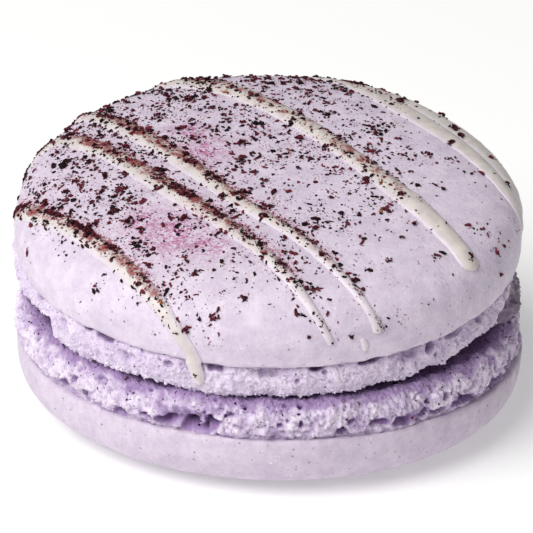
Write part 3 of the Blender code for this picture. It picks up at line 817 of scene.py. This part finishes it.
# Drizzle
# Lines of ivory icing, flicked across the finished shell from a spoon. Each is a low bead of uneven width
# whose edges run out flat on the shell. The left one hangs over the lip in a drop, and the one at the rim
# runs down to the filling.
DRIZZLE = {  # each line's way over the skin laid flat: across, back, half width
    "drizzle_left": (
        (-25.6, -0.8, 0.50), (-23.8, -2.6, 0.58), (-20.6, -6.2, 0.62), (-17.1, -10.0, 0.62),
        (-14.3, -13.5, 0.62), (-11.6, -17.2, 0.62), (-9.1, -21.0, 0.60), (-7.6, -24.4, 0.62),
        (-7.0, -26.6, 0.68), (-6.8, -28.3, 0.52),
    ),
    "drizzle_second": (
        (-23.4, 4.6, 0.45), (-21.6, 6.6, 0.55), (-19.4, 6.8, 0.65), (-15.0, 2.4, 0.70), (-9.8, -4.0, 0.72),
        (-4.3, -10.3, 0.70), (0.0, -15.4, 0.62), (4.0, -21.2, 0.42), (6.2, -24.0, 0.30),
    ),
    "drizzle_third": (
        (-21.0, 16.2, 0.55), (-18.4, 13.2, 0.62), (-15.6, 9.6, 0.70), (-8.1, 0.0, 0.72), (-2.6, -7.3, 0.70),
        (2.3, -12.2, 0.62), (6.7, -17.6, 0.45), (9.2, -20.6, 0.38), (10.5, -22.0, 0.55),
    ),
    "drizzle_middle": (
        (-14.0, 22.4, 0.95), (-10.6, 19.6, 1.10), (-6.9, 17.0, 1.15), (-3.5, 14.2, 1.12), (2.7, 7.3, 1.05),
        (8.4, -0.2, 1.00), (11.0, -3.7, 1.10), (13.7, -7.1, 1.05), (16.4, -10.5, 0.95), (18.4, -12.9, 1.15),
    ),
    "drizzle_right": (
        (0.9, 24.2, 0.80), (4.2, 21.3, 0.90), (7.6, 17.9, 1.00), (11.5, 13.2, 1.15), (14.5, 9.6, 1.10),
        (17.2, 6.5, 1.00), (19.9, 2.9, 0.90), (22.2, -0.2, 0.80), (24.4, -2.4, 0.50),
    ),
    "drizzle_rim": (
        (5.3, 22.3, 0.80), (9.2, 18.9, 1.10), (12.9, 15.3, 1.25), (16.0, 11.7, 1.30), (18.3, 9.1, 1.25),
        (20.3, 6.3, 1.20), (21.9, 4.1, 1.10), (23.6, 2.7, 1.00), (25.4, 2.0, 0.90), (27.2, 1.5, 0.80),
        (28.9, 1.1, 0.60),
    ),
    "drizzle_drop": ((8.9, -22.9, 0.20), (9.5, -23.4, 0.32), (9.7, -24.0, 0.22)),
}
ICING_RISE = 0.36  # of the bead above the shell, for each millimetre of half width
ICING_SINK = 0.75  # of its underside into the shell
ICING_LIFT = 0.06
ROUTE_STEPS = 14  # between two of a line's places
BEAD_SIDES = 28
BEAD_SPREAD = 1.12  # the thin edges run out this much wider than the bead
BEAD_MOST = 0.9  # a wider bead stands no higher than one of this half width
FLAT_LINES = {"drizzle_right": 0.4, "drizzle_rim": 0.35}  # these have run out flatter


def bead_reach(across, back, half):
    """How far a line's icing runs out to each side: further at the left, but not where it hangs down."""
    wetter = (1 - smooth_step(-9.0, 0.0, across)) * smooth_step(-24.0, -15.0, back)
    return half * BEAD_SPREAD * (1 + 0.38 * wetter)


def bead(points, most):
    """A closed bead of icing drawn along a route on the skin laid flat, and wrapped over the shell."""
    route = rounded(points, ROUTE_STEPS)
    last = len(route) - 1
    passed = [0.0]
    for start, end in zip(route, route[1:]):
        passed.append(passed[-1] + (end - start).to_2d().length)

    def drawn(point, out):
        i = round(point.z * last)
        place = route[i]
        ahead = (route[min(i + 1, last)] - route[max(i - 1, 0)]).to_2d().normalized()
        half = place.z
        from_end = min(passed[i], passed[-1] - passed[i]) / half
        taper = math.sqrt(max(1 - (1 - min(from_end, 1.0)) ** 2, 0.02))
        near = Vector((place.x, place.y, 4.0 * point.x))
        uneven = 1 + 0.10 * crumb(near, 2.4, 71.0) + 0.07 * crumb(near, 0.9, 73.0)
        offset = point.x * taper * uneven * bead_reach(place.x, place.y, half)
        across, back = place.x + ahead.y * offset, place.y - ahead.x * offset
        size = half * taper
        if point.y > 0.0:
            proud = 0.02 + ICING_RISE * min(size, most) * point.y ** 1.7 + ICING_LIFT * point.y
            proud += 0.05 * crumb(Vector((across, back, 0.0)), 0.8, 75.0) * taper * point.y
        else:
            proud = 0.02 + ICING_SINK * size * point.y
        return on_skin(across, back, proud)[0], Vector((across, back, 0.0))

    shape = column(BEAD_SIDES, last)
    marked(shape, shape.verts.layers.float_vector.new("flat"), drawn)
    bmesh.ops.recalc_face_normals(shape, faces=shape.faces)
    return shape


def icing_material():
    """Set icing, faintly clouded, and thin enough to show the shell where the mesh says so."""
    material, tree, base, place = new_material(
        "ivory icing", Roughness=0.4, Subsurface_Weight=0.2, Subsurface_Radius=(1.0, 0.9, 0.7),
        Subsurface_Scale=0.4 * MM,
    )
    cloud = noise_over(tree, place, Scale=900.0, Detail=5.0)
    covering = tree.nodes.new("ShaderNodeMix")
    covering.data_type = "RGBA"
    covering.inputs["B"].default_value = screen_colour(213, 202, 218)  # the shell under thin icing
    tree.links.new(attribute_of(tree, "thin"), covering.inputs["Factor"])
    tree.links.new(toned(tree, cloud, 0.32, (198, 188, 185), 0.66, (215, 208, 203)), covering.inputs["A"])
    tree.links.new(covering.outputs["Result"], base)
    bumped(tree, cloud, 0.06)
    return material


icing = dusted(icing_material(), (134, 48, 46), 0.9)
lines = []
for name, points in DRIZZLE.items():
    line = placed(name, bead(points, FLAT_LINES.get(name, BEAD_MOST)), UPPER_PLACE, icing)
    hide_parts("top_shell")
    lines.append(line)

# Fruit flakes
# Freeze-dried dark fruit, crumbled over the icing while it was wet: thin, angular flakes from dust to a
# millimetre and more. They lie thickest at the left and behind, are caught along the far side of the icing
# lines, and a few have dropped on the lower foot.
FLAKE_COUNT = 110  # of the largest, each a heap of flakes stuck together
FLAKE_SEED = 21
FLAKE_CORNERS = 12  # of a solid flake, whose sizes are drawn too, so that these lie where the solids do
FLAKE_GAP = 1.5
STREWING_SEED = 3
SMALL_FLAKES = 5600
DUST_GRAINS = 5200
LEDGE_SEED = 8
LEDGE_TRIES = 6000  # places tried on the lower foot, of which about one in ten gets a flake
CRUST_FLAKES = (  # line, how many are tried, and their middle and spread in half widths to its far side
    ("drizzle_left", 4000, 0.85, 0.25), ("drizzle_second", 2500, 0.5, 0.55),
    ("drizzle_third", 2500, 0.5, 0.55), ("drizzle_middle", 1100, 0.1, 0.6),
)
LARGE_PLACES = (  # the largest that lie apart: across, back, size
    (-7.8, 17.4, 0.5), (-6.8, 15.8, 0.55), (-5.6, 15.2, 0.4), (-0.2, 10.1, 0.4), (6.8, 0.7, 0.35),
    (8.3, -1.5, 0.3), (16.6, 10.1, 0.75), (17.3, 8.6, 0.7), (16.2, 6.2, 0.6), (5.7, 15.9, 0.5),
    (6.9, 14.6, 0.4), (-7.0, -27.2, 0.3), (3.0, 11.5, 0.35), (11.5, 5.5, 0.3), (12.5, -0.5, 0.3),
)
PINK_PATCHES = (  # across, back, reach
    (-8.3, -11.7, 3.0), (-11.0, -9.8, 1.8), (-5.4, -13.6, 1.8), (-6.0, 1.9, 2.2), (-7.6, 5.6, 1.6),
)


def beside(across, back, points):
    """Distance from a place to a line of icing, above zero on its far side, and its half width there."""
    best, side, half = 1000.0, 1.0, 0.0
    for (x, y, width), (next_x, next_y, next_width) in zip(points, points[1:]):
        along_x, along_y = next_x - x, next_y - y
        share = ((across - x) * along_x + (back - y) * along_y) / (along_x * along_x + along_y * along_y)
        share = min(max(share, 0.0), 1.0)
        away_x, away_y = across - x - share * along_x, back - y - share * along_y
        away = math.hypot(away_x, away_y)
        if away < best:
            best, half = away, width + share * (next_width - width)
            side = 1.0 if along_x * away_y - along_y * away_x > 0 else -1.0
    return best * side, half


def icing_height(across, back):
    """How far the icing stands proud of the skin at a place."""
    height = 0.0
    for name, points in DRIZZLE.items():
        away, half = beside(across, back, points)
        share = 1 - (away / bead_reach(across, back, half)) ** 2
        if share > 0.0:
            rise = ICING_RISE * min(half, FLAT_LINES.get(name, BEAD_MOST))
            height = max(height, rise * share ** 0.85 + ICING_LIFT * share ** 0.5)
    return height


def flake_share(across, back):
    """How thickly the fruit flakes lie at a place on the skin, 0 to 1: most at the left and behind."""
    distance = math.hypot(across, back)
    share = 0.06 + 0.94 * (1 - smooth_step(-4.0, 17.0, across + 0.15 * back))
    share *= (1 - smooth_step(23.5, 27.0, distance)) * smooth_step(-26.0, -14.0, back)
    bare, half = beside(across, back, DRIZZLE["drizzle_left"])
    share *= 0.06 + 0.94 * smooth_step(-half - 0.4, 0.0, bare)
    caught = 0.0
    for name in ("drizzle_left", "drizzle_second", "drizzle_third"):
        away, half = beside(across, back, DRIZZLE[name])
        caught = max(caught, math.exp(-((away - half) / 0.8) ** 2))
    return min(1.0, share * (0.45 + 0.75 * caught))


def thinned(across, back):
    """How many of the flakes have stayed at a place: fewer towards the rim at the back left."""
    edge = smooth_step(15.5, 20.5, math.hypot(across, back))
    return 1 - 0.65 * edge * within(way_round(across, back), 122, 132, 172, 186)


def strewn_share(across, back):
    """How thickly the small flakes lie: as the largest do, but more evenly behind, and further right."""
    left = 1 - smooth_step(-20.0, -9.0, across)
    behind = smooth_step(-9.0, 5.0, back) * (1 - smooth_step(11.0, 16.0, across + 0.1 * back))
    ahead = smooth_step(-9.0, -1.0, across) * (1 - smooth_step(-14.0, -5.0, back))
    right = within(across, 1.0, 6.0, 11.0, 16.0) * within(back, -13.0, -6.0, 1.0, 7.0)
    rim = 1 - smooth_step(23.0, 26.5, math.hypot(across, back))
    share = flake_share(across, back) * (0.85 + 0.25 * left - 0.3 * behind - 0.3 * ahead)
    return thinned(across, back) * (share + rim * (0.34 * behind + 0.22 * right + 0.06 * left))


def pink_share(across, back):
    """How much pink juice has bled into the shell at a place."""
    return max(
        math.exp(-((across - x) ** 2 + (back - y) ** 2) / (reach * reach)) for x, y, reach in PINK_PATCHES
    )


def large_flakes():
    """Places, turns and sizes of the largest flakes, spread well apart."""
    draw = random.Random(FLAKE_SEED)
    found = []
    while len(found) < FLAKE_COUNT:
        across, back = draw.uniform(-24, 24), draw.uniform(-24, 24)
        chance = draw.random()
        turn, size, squash = draw.uniform(0, math.tau), draw.uniform(0.42, 0.75), draw.uniform(0.5, 0.85)
        for _ in range(FLAKE_CORNERS):
            draw.uniform(0.72, 1.25)
        if chance > flake_share(across, back):
            continue
        if any((across - x) ** 2 + (back - y) ** 2 < FLAKE_GAP ** 2 for x, y, *_ in found):
            continue
        found.append((across, back, turn, size, squash))
    return found


def flake_at(draw, kinds, across, back, size, lift):
    """One flake lying on the shell or on the icing."""
    spot, out = on_skin(across, back, icing_height(across, back) + lift)
    lie = lying(spot, out, draw, size, draw.uniform(0.3, 0.85), draw.uniform(0.2, 0.5), 0.6)
    return draw.choice(kinds), lie, draw.random()


def heaped_flakes(draw, kinds):
    """Each of the largest flakes, as a heap of smaller ones."""
    laid = []
    by_hand = [(across, back, across, size, 0.8) for across, back, size in LARGE_PLACES]
    for across, back, turn, size, squash in large_flakes() + by_hand:
        for _ in range(draw.randint(7, 12)):
            far, way = 0.9 * draw.random(), draw.uniform(0, math.tau)
            x, y = far * math.cos(way) * size, far * math.sin(way) * size * squash
            place = (
                across + x * math.cos(turn) - y * math.sin(turn),
                back + x * math.sin(turn) + y * math.cos(turn),
            )
            laid.append(flake_at(draw, kinds, *place, size * draw.uniform(0.24, 0.5), (1 - far) * 0.25))
    return laid


def strewn_flakes(draw, kinds, count, middle, spread, least, most, together, lift):
    """Flakes strewn by strewn_share, most of them singly and the rest in clusters."""
    laid = []
    while len(laid) < count:
        across, back = draw.uniform(-27, 27), draw.uniform(-27, 27)
        if draw.random() > strewn_share(across, back) * (1 - 0.6 * pink_share(across, back)):
            continue
        reach = draw.uniform(0.3, 0.85)
        for _ in range(1 if draw.random() < 0.7 else draw.randint(3, together)):
            x, y = across + draw.gauss(0.0, reach), back + draw.gauss(0.0, reach)
            size = min(max(middle * math.exp(draw.gauss(0.0, spread)), least), most)
            laid.append(flake_at(draw, kinds, x, y, size, lift * size))
    return laid


def crusted_flakes(draw, kinds):
    """Flakes packed into a broken crust along the far side of the lines of icing that caught them."""
    laid = []
    for name, count, middle, spread in CRUST_FLAKES:
        route = rounded(DRIZZLE[name], ROUTE_STEPS)
        for _ in range(count):
            i = draw.randrange(1, len(route))
            place = route[i].lerp(route[i - 1], draw.random())
            ahead = (route[i] - route[i - 1]).to_2d().normalized()
            clump = smooth_step(-0.25, 0.4, crumb(Vector((place.x, place.y, 0.0)), 1.7, 81.0))
            away = place.z * draw.gauss(middle, spread)
            across, back = place.x - ahead.y * away, place.y + ahead.x * away
            if draw.random() > clump * flake_share(across, back) * thinned(across, back):
                continue
            size = min(max(0.13 * math.exp(draw.gauss(0.0, 0.4)), 0.06), 0.3)
            size *= 0.55 + 0.45 * smooth_step(-20.0, -8.0, back)
            laid.append(flake_at(draw, kinds, across, back, size, draw.uniform(0.0, 0.15)))
    return laid


def fruit_material(name, dark, light):
    """Dried fruit, mottled, and lighter or darker from flake to flake as the mesh says."""
    material, tree, base, place = new_material(name, Roughness=0.7, Specular_IOR_Level=0.15)
    mottle = noise_over(tree, place, Scale=4000.0, Detail=2.0)
    both = sum_of(tree, "MULTIPLY_ADD", attribute_of(tree, "tint"), 0.6, mottle)
    tree.links.new(toned(tree, ranged(tree, both, 0.3, 1.2), 0.42, dark, 1.0, light), base)
    return material


def nearest_icing(across, back):
    """Distance from a place to the middle of the nearest line of icing, and that line's half width there."""
    found = (beside(across, back, points) for points in DRIZZLE.values())
    return min(found, key=lambda line: abs(line[0]))


def icing_thinness(across, back):
    """How much the shell shows through the icing: along its edges, and more where a line is narrow."""
    away, half = nearest_icing(across, back)
    edge = smooth_step(0.54, 0.98, abs(away) / bead_reach(across, back, half))
    return min(0.55 * (1 - smooth_step(0.4, 0.75, half)) + 0.6 * edge, 0.85)


def icing_dust(across, back):
    """How thickly fruit powder sticks to the icing: on the far side of a line, not on its near side."""
    away, half = nearest_icing(across, back)
    return min(1.2 * strewn_share(across, back), 1.0) * smooth_step(-1.4, 0.0, away / half)


def powdered(piece, marks):
    """Marks each point of a piece on the skin by rules, such as how much fruit powder lies there."""
    flat = [point.vector.copy() for point in piece.data.attributes["flat"].data]
    for name, rule in marks:
        told = piece.data.attributes.new(name, "FLOAT", "POINT")
        told.data.foreach_set("value", [rule(place.x, place.y) for place in flat])


powdered(upper_dome, (("dust", flake_share), ("pink", pink_share)))
for line in lines:
    powdered(line, (("dust", icing_dust), ("pink", pink_share), ("thin", icing_thinness)))

dark_fruit = fruit_material("dark fruit", (15, 2, 7), (118, 38, 55))
draw = random.Random(STREWING_SEED)
shards = chips(draw, count=18, sides=5, levels=3, least=0.35, most=1.45)
laid = heaped_flakes(draw, shards) + crusted_flakes(draw, shards)
laid += strewn_flakes(
    draw, shards, SMALL_FLAKES, middle=0.145, spread=0.5, least=0.08, most=0.42, together=12, lift=0.2,
)
dark_flakes = heaped("dark_flakes", laid, UPPER_PLACE, dark_fruit, "tint")
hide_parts("top_shell")
wine_dust = fruit_material("wine dust", (96, 28, 44), (172, 92, 116))
specks = chips(draw, count=10, sides=4, levels=2, least=0.6, most=1.3)
laid = strewn_flakes(
    draw, specks, DUST_GRAINS, middle=0.065, spread=0.35, least=0.03, most=0.12, together=22, lift=0.3,
)
fruit_dust = heaped("fruit_dust", laid, UPPER_PLACE, wine_dust, "tint")
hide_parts("top_shell")

foot_flakes = []
draw = random.Random(LEDGE_SEED)
for face in draw.choices(lower_foot.data.polygons, k=LEDGE_TRIES):
    spot, out = face.center / MM - Vector((AXIS_SHIFT, 0.0, 0.0)), face.normal
    left = within(way_round(spot.x, spot.y), 165, 185, 200, 250)
    if out.z < 0.0 or math.hypot(spot.x, spot.y) < 20.0 or draw.random() > 0.10 + 0.08 * left:
        continue
    size, squash, thick = draw.uniform(0.08, 0.19), draw.uniform(0.5, 0.9), draw.uniform(0.3, 0.6)
    lie = lying(spot, out, draw, size, squash, thick)
    foot_flakes.append((draw.choice(shards), lie, draw.random()))
ledge_flakes = heaped("ledge_flakes", foot_flakes, LOWER_PLACE, dark_fruit, "tint")
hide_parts("bottom_shell")

# Fruit crumbs
# A few paler, toasted-looking crumbs of the fruit's core among the dark flakes, each no more than half a
# millimetre.
BROWN_CRUMBS = (
    (-4.3, 13.2), (-12.0, -15.7), (9.8, -3.4), (9.9, -7.3), (-9.4, -20.0), (-14.8, 4.0), (1.5, 2.2),
)
laid = []
for across, back in BROWN_CRUMBS:
    for _ in range(3):
        x, y = across + draw.gauss(0.0, 0.15), back + draw.gauss(0.0, 0.15)
        laid.append(flake_at(draw, shards, x, y, draw.uniform(0.16, 0.28), 0.08))
brown_fruit = fruit_material("brown fruit", (120, 62, 40), (188, 122, 84))
brown_crumbs = heaped("brown_crumbs", laid, UPPER_PLACE, brown_fruit, "tint")
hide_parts("top_shell")

# Studio
# A plain pale table and soft light from one large panel at the front left, with a pale surround.
FLOOR_SIZE = 3.0
shape = bmesh.new()
bmesh.ops.create_grid(shape, x_segments=1, y_segments=1, size=FLOOR_SIZE / 2)
mesh = bpy.data.meshes.new("table")
shape.to_mesh(mesh)
shape.free()
table = bpy.data.objects.new("table", mesh)
bpy.context.scene.collection.objects.link(table)
pale = bpy.data.materials.new("pale table")
pale.use_nodes = True
set_inputs(
    pale.node_tree.nodes["Principled BSDF"], Base_Color=(0.78, 0.78, 0.78, 1.0), Roughness=0.9,
    Emission_Strength=0.28,
)
mesh.materials.append(pale)

PANEL_PLACE = Vector((-0.44, -0.40, 0.66))  # in metres, as the panel's size and aim
PANEL_AIM = Vector((0.0, 0.0, 0.01))
panel = bpy.data.lights.new("key panel", "AREA")
panel.shape = "DISK"
panel.size = 0.8
panel.energy = 9.2
panel.color = (1.0, 1.0, 0.98)
lamp = bpy.data.objects.new("key panel", panel)
lamp.location = PANEL_PLACE
lamp.rotation_euler = (PANEL_PLACE - PANEL_AIM).to_track_quat("Z", "Y").to_euler()
bpy.context.scene.collection.objects.link(lamp)

surround = bpy.data.worlds.new("pale surround")
surround.use_nodes = True
set_inputs(surround.node_tree.nodes["Background"], Color=(1.0, 1.0, 1.0, 1.0), Strength=0.27)
bpy.context.scene.world = surround
bpy.context.scene.view_settings.view_transform = "Standard"

CAMERA_ELEVATION = math.radians(23.85)
CAMERA_ROLL = math.radians(1.96)
CAMERA_DISTANCE = 400.0
CAMERA_AIM = (-0.48, 0.0, 12.35)
CAMERA_LENS = 298.5
lens = bpy.data.cameras.new("camera")
lens.lens = CAMERA_LENS
lens.sensor_width = 36.0
camera = bpy.data.objects.new("camera", lens)
back = Vector((0.0, -math.cos(CAMERA_ELEVATION), math.sin(CAMERA_ELEVATION)))
stand = (Vector(CAMERA_AIM) + Vector((AXIS_SHIFT, 0.0, 0.0)) + back * CAMERA_DISTANCE) * MM
turn = Matrix.Rotation(math.pi / 2 - CAMERA_ELEVATION, 4, "X") @ Matrix.Rotation(CAMERA_ROLL, 4, "Z")
camera.matrix_world = Matrix.Translation(stand) @ turn
bpy.context.scene.collection.objects.link(camera)
bpy.context.scene.camera = camera
